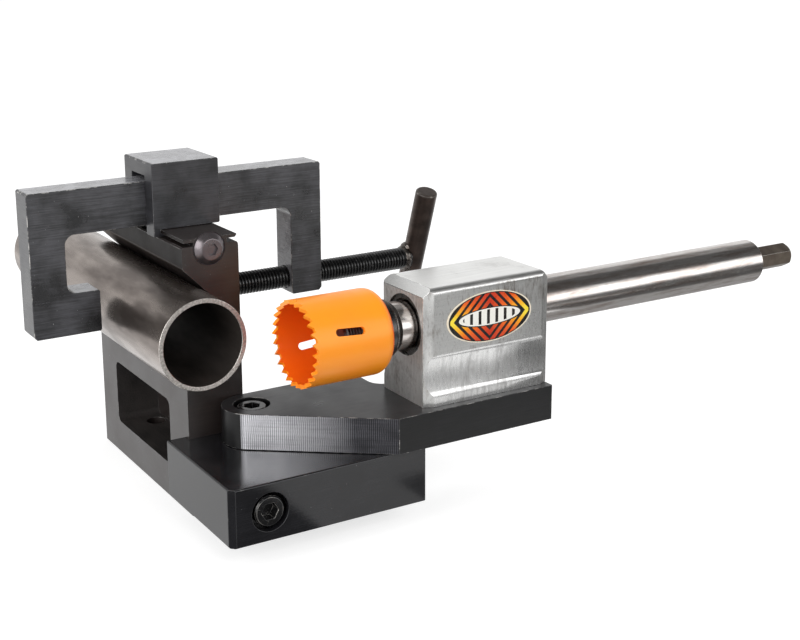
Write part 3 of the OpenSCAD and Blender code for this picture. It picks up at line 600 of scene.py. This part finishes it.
class NOTCHER_PG_saw(bpy.types.PropertyGroup):
    outside: StringProperty(name="Enamel", description="Hex colour of the cup's outside", default="ff9816")
    # the inside's deeper orange is painted shade
    inside: StringProperty(name="Inside enamel with painted shade", description="Hex colour of the cup's inside, deepened as painted shade",
                           default="ff6e10")
    set_in: FloatProperty(name="Tooth set", description="How far every third tooth leans in, in millimetres",
                          default=0.5, min=0.0, max=1.0)


class NOTCHER_PG_block(bpy.types.PropertyGroup):
    metal: StringProperty(name="Aluminium", description="Hex colour of the bearing block", default="d6d6d4")
    edge: FloatProperty(name="Edge break", description="Width of the block's broken edges, in millimetres",
                        default=0.6, min=0.1, max=2.0)


class NOTCHER_PG_stage(bpy.types.PropertyGroup):
    level: FloatProperty(name="Light level", description="Strength of the white surroundings",
                         default=0.55, min=0.0, max=2.0)
    key: FloatProperty(name="Key light", description="Power of the large soft light, in watts",
                       default=6.5, min=0.0, max=200.0, unit="POWER")
    lens: FloatProperty(name="Lens", description="Focal length, in millimetres on a 36 mm sensor",
                        default=60.596, min=20.0, max=200.0, unit="CAMERA")


# ---- operators


class NOTCHER_OT_stage(bpy.types.Operator):
    """Floor, white surroundings, lights, reflected cards and the camera"""

    bl_idname = "notcher.stage"
    bl_label = "Stage"

    def execute(self, context):
        scene, tune = context.scene, context.scene.notcher_stage
        scene.view_settings.view_transform = "Standard"
        scene.world = white_room(tune.level)
        paper_floor()
        for name, place, size, share, mirrored in LIGHTS:
            soft_light(name, place, size, tune.key * share, mirrored)
        for entry in CARDS:
            card(*entry)
        scene.camera = photo_camera(tune.lens)
        return {"FINISHED"}


class NOTCHER_OT_upright(bpy.types.Operator):
    """Upright with its V and rail, and the base block on its front"""

    bl_idname = "notcher.upright"
    bl_label = "Upright and base"

    def execute(self, context):
        tune = context.scene.notcher_steel
        film = black_oxide("brown-black oxide on the upright", tune.brown, "2c2624",
                           brush=(0.04, 0.04, 3.5), rough=(0.26, 0.4))
        inner = black_oxide("oxide in the milled pocket", "201e1e", "3a3634",
                            brush=(1.2, 0.05, 1.2), rough=(0.3, 0.5), nicks=0.9)
        # the rail's left side gets a darker, duller film: painted shade from the clamp frame and guide above
        # it
        painted_rail_shade = black_oxide("oxide on the rail's side with painted shade", "110e0d", "1b1716",
                           brush=(0.04, 3.0, 3.0), rough=(0.3, 0.5), nicks=0.9, blotch=0.04, gloss=1.2)
        edge = worn_edge("rubbed edge of the upright", "2c2a2a", "9a9896", cover=0.5)
        low, high = corners("upright_body")
        open_side, back_wall, end_wall = 2 * MM, 8 * MM, 20 * MM
        pocket_floor, pocket_roof, rail_foot = 18 * MM, 60 * MM, 110 * MM

        def where(at, normal):
            # left-facing faces above the rail's foot take the painted shade
            if normal.x < -FACING and at.z > rail_foot:
                return 3
            in_pocket = (low.x + open_side < at.x < high.x - back_wall and pocket_floor < at.z < pocket_roof
                         and low.y + end_wall < at.y < high.y - end_wall)
            return 2 if in_pocket else 0

        made = merged_copy("upright_body")
        break_edges(made, tune.edge)
        choose(made, where)
        piece(made, "Upright", "upright", [film, edge, inner, painted_rail_shade], ["upright_body"])

        film = black_oxide("blue-black oxide on the base", "131315", "202023",
                           brush=(0.05, 4.0, 4.0), rough=(0.06, 0.2), nicks=0.78, gloss=1.47)
        edge = worn_edge("rubbed edge of the base", "2c2c2e", "6f6f6e", cover=0.6)
        lid = black_oxide("burnished top of the base", "131315", "242427",
                          brush=(0.05, 4.0, 4.0), rough=(0.1, 0.26), nicks=0.8, gloss=2.0)
        top = corners("base_block")[1].z - 3.5 * MM
        dressed("base_block", "upright", [film, edge, lid], "black_steel", tune.edge,
                lambda at, normal: 2 if normal.z > FACING and at.z > top else 0)
        return {"FINISHED"}


class NOTCHER_OT_arm(bpy.types.Operator):
    """Swinging arm with chatter marks on its sides"""

    bl_idname = "notcher.arm"
    bl_label = "Swing arm"

    def execute(self, context):
        tune = context.scene.notcher_steel
        film = black_oxide("oxide on the arm's top", "18181a", "2c2c2e",
                           brush=(0.08, 0.4, 0.4), rough=(0.27, 0.44), nicks=0.8, blotch=0.045)
        edge = worn_edge("rubbed edge of the arm", "303032", "a8a6a3", cover=0.5)
        # the side's painted sheen is full from 2.8 to 16 mm along X, fading in from 0.3 mm and out by 48 mm
        side = cutter_marked("chatter-marked side of the arm with painted sheen", math.radians(36.5),
                             rise=(0.3 * MM, 2.8 * MM), fall=(16 * MM, 48 * MM))
        dark = black_oxide("oxide on the arm's front edge", "0a0a0b", "171718",
                           brush=(0.05, 0.05, 2.5), rough=(0.26, 0.4), nicks=0.85, gloss=1.35)
        # the slanted side runs from the round end to the front corner, in front of the pivot
        round_end = 1.4 * MM
        corner = middle("swing_arm").x - 12 * MM
        pivot_line = -83 * MM

        def where(at, normal):
            if abs(normal.z) > 0.5:
                return 0
            return 2 if round_end < at.x < corner and normal.y < 0.3 and at.y < pivot_line else 3

        dressed("swing_arm", "arm", [film, edge, side, dark], "arm_steel", tune.edge, where)
        return {"FINISHED"}


class NOTCHER_OT_block(bpy.types.Operator):
    """Bearing block, its shells, snap rings and badge"""

    bl_idname = "notcher.block"
    bl_label = "Bearing block"

    def execute(self, context):
        self.block(context.scene.notcher_block)
        shell = bright_steel("hardened bearing shell", "bdbab6", rough=0.24, cells=(4.0, 0.1, 0.1))
        cage = bright_steel("roller cage", "8f8c88", rough=0.3, cells=(0.3, 0.6, 0.6))
        ring = bright_steel("blued spring steel", "706d6b", rough=0.28, cells=(0.3, 0.3, 0.3))
        refinish(shell, "shell_left", "shell_right")
        refinish(cage, "cage_left", "cage_right")
        refinish(ring, "ring_left", "ring_right")
        self.badge()
        return {"FINISHED"}

    def block(self, tune):
        upper = milled_aluminium("mottled aluminium", tune.metal, "6e645c", lines=(0.02, 3.0, 3.0),
                                 spots=(0.6, 0.5, 0.14), onset=(0.49, 0.64))
        edge = bright_steel("bright block edge", "f0f0ee", rough=0.22, cells=(0.3, 0.3, 0.3))
        top = milled_aluminium("bright aluminium top", "f8f8f6", "cac9c6", lines=(0.02, 2.5, 3.0),
                               spots=(0.1, 0.1, 0.1), onset=(0.56, 0.75), rough=(0.3, 0.42))
        cove = milled_aluminium("milled cove", "dcdcdb", "8d8b89", lines=(0.7, 0.02, 0.05),
                                spots=(0.5, 0.3, 0.12), onset=(0.50, 0.68), rough=(0.22, 0.36))
        bore = bright_steel("turned recess", "9c9a98", rough=0.3, cells=(4.0, 0.1, 0.1))
        sawn = milled_aluminium("sawn end of the block", "f6f6f4", "95908b", lines=(0.05, 0.8, 0.05),
                                spots=(0.35, 0.35, 0.2), onset=(0.5, 0.7), rough=(0.46, 0.6))
        low, high = corners("bearing_block")
        axis = middle("spindle_shaft")
        recess_reach, skin = 18.6 * MM, 0.5 * MM
        shoulder = high.z - 8 * MM
        cove_top = low.z + 27.6 * MM

        def where(at, normal):
            out = from_axis(at, axis)
            faces_axis = abs(normal.x) < FACING and normal.dot(out) < 0
            if faces_axis and out.length < recess_reach and low.y + skin < at.y < high.y - skin:
                return 4
            if normal.z > 0.3 and at.z > shoulder:
                return 2
            if abs(normal.x) > FACING:
                return 5
            return 3 if at.z < cove_top and abs(normal.x) < 0.3 else 0

        dressed("bearing_block", "arm", [upper, edge, top, cove, bore, sawn], "aluminium", tune.edge, where)

    def badge(self):
        low, high = corners("badge_plate")
        mid, half = (low + high) / 2, (high - low) / 2
        gap, thick = 0.01 * MM, 0.6 * (high.y - low.y)
        print_film = badge_print("printed badge", mid, half.x, half.z)
        made = bmesh.new()
        bmesh.ops.create_circle(made, cap_ends=True, radius=1.0, segments=96)
        bmesh.ops.scale(made, vec=(half.x, half.z, 1.0), verts=made.verts)
        bmesh.ops.rotate(made, cent=(0, 0, 0), matrix=Matrix.Rotation(FULL_TURN / 4, 3, "X"),
                         verts=made.verts)
        bmesh.ops.translate(made, vec=(mid.x, high.y - gap, mid.z), verts=made.verts)
        grown = bmesh.ops.extrude_face_region(made, geom=list(made.faces))
        moved = [g for g in grown["geom"] if isinstance(g, bmesh.types.BMVert)]
        bmesh.ops.translate(made, vec=(0, -thick, 0), verts=moved)
        bmesh.ops.recalc_face_normals(made, faces=made.faces)
        piece(made, "Badge", "arm", [print_film], ["badge_plate"],
              flat_angle=50.0, weighted=False)


class NOTCHER_OT_clamp(bpy.types.Operator):
    """Guide block on the rail and the C-shaped frame through it"""

    bl_idname = "notcher.clamp"
    bl_label = "Clamp frame"

    def execute(self, context):
        tune = context.scene.notcher_steel
        # the tops, and the left-facing faces of the right leg, get a film far lighter than the oxide: a
        # painted sheen for the light glancing off them
        lid = black_oxide("oxide on the tops with painted sheen", "66666a", "98989c",
                          brush=(0.2, 0.2, 2.0), rough=(0.2, 0.34), nicks=0.8, blotch=0.05, gloss=1.9)
        right_leg = corners("clamp_frame")[1].x - 30 * MM

        # faces that take the painted sheen
        def where(at, normal):
            return 2 if normal.z > FACING or normal.x < -FACING and at.x > right_leg else 0

        film = black_oxide("oxide on the guide block", tune.face, tune.pale,
                           brush=(0.07, 0.07, 3.0), rough=(0.24, 0.44), nicks=0.77, blotch=0.05)
        edge = worn_edge("rubbed edge of the guide", "3a3a3c", "9a9896", cover=0.54)
        dressed("guide_block", "guide", [film, edge, lid], "black_steel", tune.edge, where)
        film = black_oxide("oxide on the frame", "151517", "414145",
                           brush=(0.06, 0.06, 1.9), rough=(0.22, 0.45), nicks=0.75, blotch=0.045, gloss=1.6)
        edge = worn_edge("rubbed edge of the frame", "3a3a3c", "b4b2ae", cover=0.49)
        dressed("clamp_frame", "frame", [film, edge, lid], "black_steel", tune.edge, where)
        return {"FINISHED"}


class NOTCHER_OT_screw(bpy.types.Operator):
    """Clamp screw with a cut helical thread, its cross handle and the weld between them"""

    bl_idname = "notcher.screw"
    bl_label = "Clamp screw"

    def execute(self, context):
        self.rod = middle("screw_handle")
        self.rod_radius = corners("screw_handle")[1].x - self.rod.x
        self.thread(context.scene.notcher_thread)
        bar = mill_scale("brown-black bar", "584b45", "332b27", rough=(0.28, 0.46), metallic=0.75)
        edge = worn_edge("rubbed end of the bar", "37302b", "8b8680", cover=0.5)
        dressed("screw_handle", "screw", [bar, edge], "handle_steel", width=0.5, sharp=30.0)
        self.weld()
        return {"FINISHED"}

    def thread(self, tune):
        low, high = corners("clamp_screw")
        axis = (low + high) / 2
        radius = (high.z - low.z) / 2
        pitch = tune.pitch * MM
        root = radius - tune.depth * MM
        # there are spare turns at both ends, which are cut off
        start = low.x - 1.5 * pitch
        turns = math.ceil((high.x - low.x) / pitch) + 2
        # one pitch of the profile: root, flank, crest, flank
        profile = ((0.0, root), (0.1, root), (0.43, radius), (0.67, radius), (1.0, root))
        made = bmesh.new()
        spin_profile(made, [(start + share * pitch, axis.y, axis.z + r) for share, r in profile], axis, turns,
                     tune.steps, pitch)
        cut_plane(made, low.x, -1, clear=True)
        cut_plane(made, high.x, 1, clear=True)
        # the tip is turned down to a short cone
        cone_len, cone_drop = 1.3 * MM, 1.6 * MM
        for vert in made.verts:
            into = (vert.co.x - low.x) / cone_len
            if into < 1:
                out = from_axis(vert.co, axis)
                limit = radius - cone_drop * (1 - into)
                if out.length > limit:
                    out *= limit / out.length
                    vert.co = Vector((vert.co.x, axis.y + out.y, axis.z + out.z))
        close_ends(made)
        # the far end is notched by the handle, short of where the notch's flanks stand upright
        reach = 0.98 * self.rod_radius
        for vert in made.verts:
            aside = min(abs(vert.co.y - axis.y), reach)
            vert.co.x = min(vert.co.x, self.rod.x - math.sqrt(self.rod_radius ** 2 - aside ** 2))
        black = screw_black("oiled black thread", "0f0f10", rough=0.26, cover=0.62)
        piece(made, "Clamp_screw", "screw", [black], ["clamp_screw"],
              flat_angle=60.0, weighted=False)

    def weld(self):
        """A lumpy fillet run round the joint in short ripples, and drawn up and down the rod."""
        low, high = corners("weld_bead")
        thread_low, thread_high = corners("clamp_screw")
        axis = (thread_low + thread_high) / 2
        radius = (thread_high.z - thread_low.z) / 2
        # places along the screw, with the bead's radius there, all in millimetres
        profile = ((low.x / MM - 0.3, 6.3), (low.x / MM + 0.8, 6.9), (high.x / MM - 0.6, 7.5),
                   (high.x / MM + 0.5, 7.4), (high.x / MM + 1.6, 6.2))
        made = bmesh.new()
        spin_profile(made, [(x * MM, axis.y, axis.z + r * MM) for x, r in profile], axis, 1, 60, join=True)
        close_ends(made)
        lumpy_from = 6.9 * MM
        ripples, ripple_rise = 11, 0.245 * MM
        lumps_per_m, lump_rise = 450, 0.42 * MM
        for vert in made.verts:
            out = from_axis(vert.co, axis)
            if out.length > lumpy_from:
                ripple = ripple_rise * math.sin(math.atan2(out.y, out.z) * ripples)
                lump = lump_rise * noise.noise(vert.co * lumps_per_m)
                vert.co += out.normalized() * (ripple + lump)
        # the fillets above and below the screw, with their half sizes in millimetres
        for side, half in ((1, (2.3, 4.2, 2.9)), (-1, (2.3, 4.2, 2.3))):
            heart = Vector((self.rod.x - 0.9 * self.rod_radius, axis.y - 0.6 * MM,
                            axis.z + side * (radius + 0.2 * MM)))
            for vert in bmesh.ops.create_icosphere(made, subdivisions=3, radius=1.0)["verts"]:
                swell = 1 + 0.22 * noise.noise(vert.co * 1.7 + Vector((side, 0, 0)))
                vert.co = heart + vert.co * Vector(half) * swell * MM
        metal = bright_steel("weld metal", "4a4440", rough=0.26, cells=(0.5, 0.5, 0.5))
        bead = piece(made, "Weld_bead", "screw", [metal], ["weld_bead"],
                     flat_angle=60.0, weighted=False)
        rounder = bead.modifiers.new("Round", "SUBSURF")
        rounder.levels = rounder.render_levels = 1


class NOTCHER_OT_fasteners(bpy.types.Operator):
    """Socket screws, the rail stop, the pivot's washer, bush and nut"""

    bl_idname = "notcher.fasteners"
    bl_label = "Fasteners"

    def execute(self, context):
        black = screw_black("blackened screw", "0f0f10", rough=0.2, cover=0.62, gloss=1.5)
        edge = worn_edge("rubbed screw edge", "2a2a2b", "8f8c88", cover=0.5)
        for name, body in (("base_screw", "upright"), ("pivot_screw", "upright"), ("pivot_nut", "upright"),
                           ("block_screws", "arm")):
            dressed(name, body, [black, edge], "black_fastener", width=0.25)
        dome = mill_scale("satin dome of the stop screw", "787274", "625c5f",
                          rough=(0.24, 0.34), metallic=0.85)
        dressed("rail_stop_screw", "upright", [dome, edge], "black_fastener", width=0.08,
                segments=2, sharp=40.0)
        refinish(bronze("oiled bronze"), "pivot_washer", "pivot_bush")
        refinish(bright_steel("hardened pin", "a8a6a4", rough=0.2), "dowel_pins")
        return {"FINISHED"}


class NOTCHER_OT_spindle(bpy.types.Operator):
    """Ground spindle with its flange, arbor thread and drive hexagon, and the black spacer"""

    bl_idname = "notcher.spindle"
    bl_label = "Spindle"

    def execute(self, context):
        ground = ground_steel("ground steel shaft")
        edge = bright_steel("turned shaft edge", "d8d5d0", rough=0.24)
        thread = screw_black("black arbor thread", "121212", rough=0.3, cover=0.64)
        stub = mill_scale("brown drive hexagon", "8a7f73", "5b5047", rough=(0.32, 0.5), metallic=0.9)
        seat = corners("spacer_collar")[1].x
        flange_end = seat + 4.1 * MM
        hexagon = corners("spindle_shaft")[1].x - 30.3 * MM

        def where(at, normal):
            if at.x < flange_end:
                return 2
            return 3 if at.x > hexagon else 0

        dressed("spindle_shaft", "spindle", [ground, edge, thread, stub], "ground_steel", width=0.35,
                picker=where, keep=lambda at: at.x > seat - 0.5 * MM)
        black = screw_black("black spacer", "0d0d0e", rough=0.25, cover=0.7)
        edge = worn_edge("rubbed spacer edge", "1c1c1d", "6b6966", cover=0.55)
        dressed("spacer_collar", "spindle", [black, edge], "black_fastener", width=0.3)
        return {"FINISHED"}


class NOTCHER_OT_saw(bpy.types.Operator):
    """Hole saw with set teeth and chip slots"""

    bl_idname = "notcher.saw"
    bl_label = "Hole saw"

    def execute(self, context):
        tune = context.scene.notcher_saw
        low, high = corners("hole_saw")
        axis = (low + high) / 2
        radius = (high.z - low.z) / 2
        wall, gullets_end = 1.2 * MM, 3.2 * MM
        teeth, tooth_len, tip_share, set_out = 26, 2.6 * MM, 0.6, 0.12
        made = merged_copy("hole_saw")
        # a ring of points behind the gullets, so that the set of the teeth doesn't bend the cup's wall
        cut_plane(made, low.x + gullets_end, 1)
        for vert in made.verts:
            into = (vert.co.x - low.x) / tooth_len
            if into < tip_share:
                out = from_axis(vert.co, axis)
                number = int((math.atan2(out.z, out.y) % FULL_TURN / FULL_TURN * teeth + 0.5) % teeth)
                if number % 3:
                    lean = -tune.set_in if number % 3 == 1 else set_out
                    vert.co += out.normalized() * lean * MM * (1 - into)
        break_edges(made, width=0.16, segments=2, sharp=40.0)
        outside = saw_enamel("orange enamel", tune.outside, "ff8c12")
        rim = saw_enamel("enamel on cut edges", "ffa23c", "ff8c20", rough=0.3)
        # the inside is painted a deeper, redder orange than the outside, as painted shade inside the cup
        inside = saw_enamel("orange enamel inside with painted shade", tune.inside, "fc600a", rough=0.36)
        choose(made, lambda at, normal: 2 if from_axis(at, axis).length < radius - wall
               and at.x < high.x - wall else 0)
        piece(made, "Hole_saw", "spindle", [outside, rim, inside], ["hole_saw"])
        return {"FINISHED"}


class NOTCHER_OT_tube(bpy.types.Operator):
    """Clamped steel tube with a bright cut end"""

    bl_idname = "notcher.tube"
    bl_label = "Clamped tube"

    def execute(self, context):
        low, high = corners("workpiece_tube")
        axis = (low + high) / 2
        bore_reach = (high.z - low.z) / 2 - 1 * MM
        outside = mill_scale("mill scale on the tube")
        cut = bright_steel("saw-cut tube end", "cfc9c3", rough=0.34, cells=(0.9, 0.9, 0.9))
        inside = mill_scale("dark bore of the tube", "4c4541", "332e2b", rough=(0.42, 0.6), metallic=0.6)

        def where(at, normal):
            if abs(normal.y) > 0.7:
                return 3
            return 2 if math.hypot(at.x - axis.x, at.z - axis.z) < bore_reach else 0

        dressed("workpiece_tube", "tube", [outside, cut, inside, cut], "tube_steel", width=0.35,
                picker=where, sharp=40.0)
        return {"FINISHED"}


class NOTCHER_PT_panel(bpy.types.Panel):
    """Buttons for each group of pieces"""

    bl_idname = "NOTCHER_PT_panel"
    bl_label = "Tube Notcher"
    bl_space_type = "VIEW_3D"
    bl_region_type = "UI"
    bl_category = "Tube Notcher"

    def draw(self, context):
        for operator in OPERATORS:
            self.layout.operator(operator.bl_idname)
        for _, group in GROUPS:
            settings = getattr(context.scene, group)
            for name in settings.__annotations__:
                self.layout.prop(settings, name)


OPERATORS = (NOTCHER_OT_stage, NOTCHER_OT_upright, NOTCHER_OT_arm, NOTCHER_OT_block, NOTCHER_OT_clamp,
             NOTCHER_OT_screw, NOTCHER_OT_fasteners, NOTCHER_OT_spindle, NOTCHER_OT_saw, NOTCHER_OT_tube)
GROUPS = ((NOTCHER_PG_steel, "notcher_steel"), (NOTCHER_PG_thread, "notcher_thread"),
          (NOTCHER_PG_saw, "notcher_saw"), (NOTCHER_PG_block, "notcher_block"),
          (NOTCHER_PG_stage, "notcher_stage"))


def register():
    for group, name in GROUPS:
        bpy.utils.register_class(group)
        setattr(bpy.types.Scene, name, PointerProperty(type=group))
    for entry in (*OPERATORS, NOTCHER_PT_panel):
        bpy.utils.register_class(entry)


def unregister():
    for entry in reversed((*OPERATORS, NOTCHER_PT_panel)):
        bpy.utils.unregister_class(entry)
    for group, name in GROUPS:
        delattr(bpy.types.Scene, name)
        bpy.utils.unregister_class(group)


def main():
    register()
    for operator in OPERATORS:
        group, name = operator.bl_idname.split(".")
        getattr(getattr(bpy.ops, group), name)()


if __name__ == "__main__":
    main()
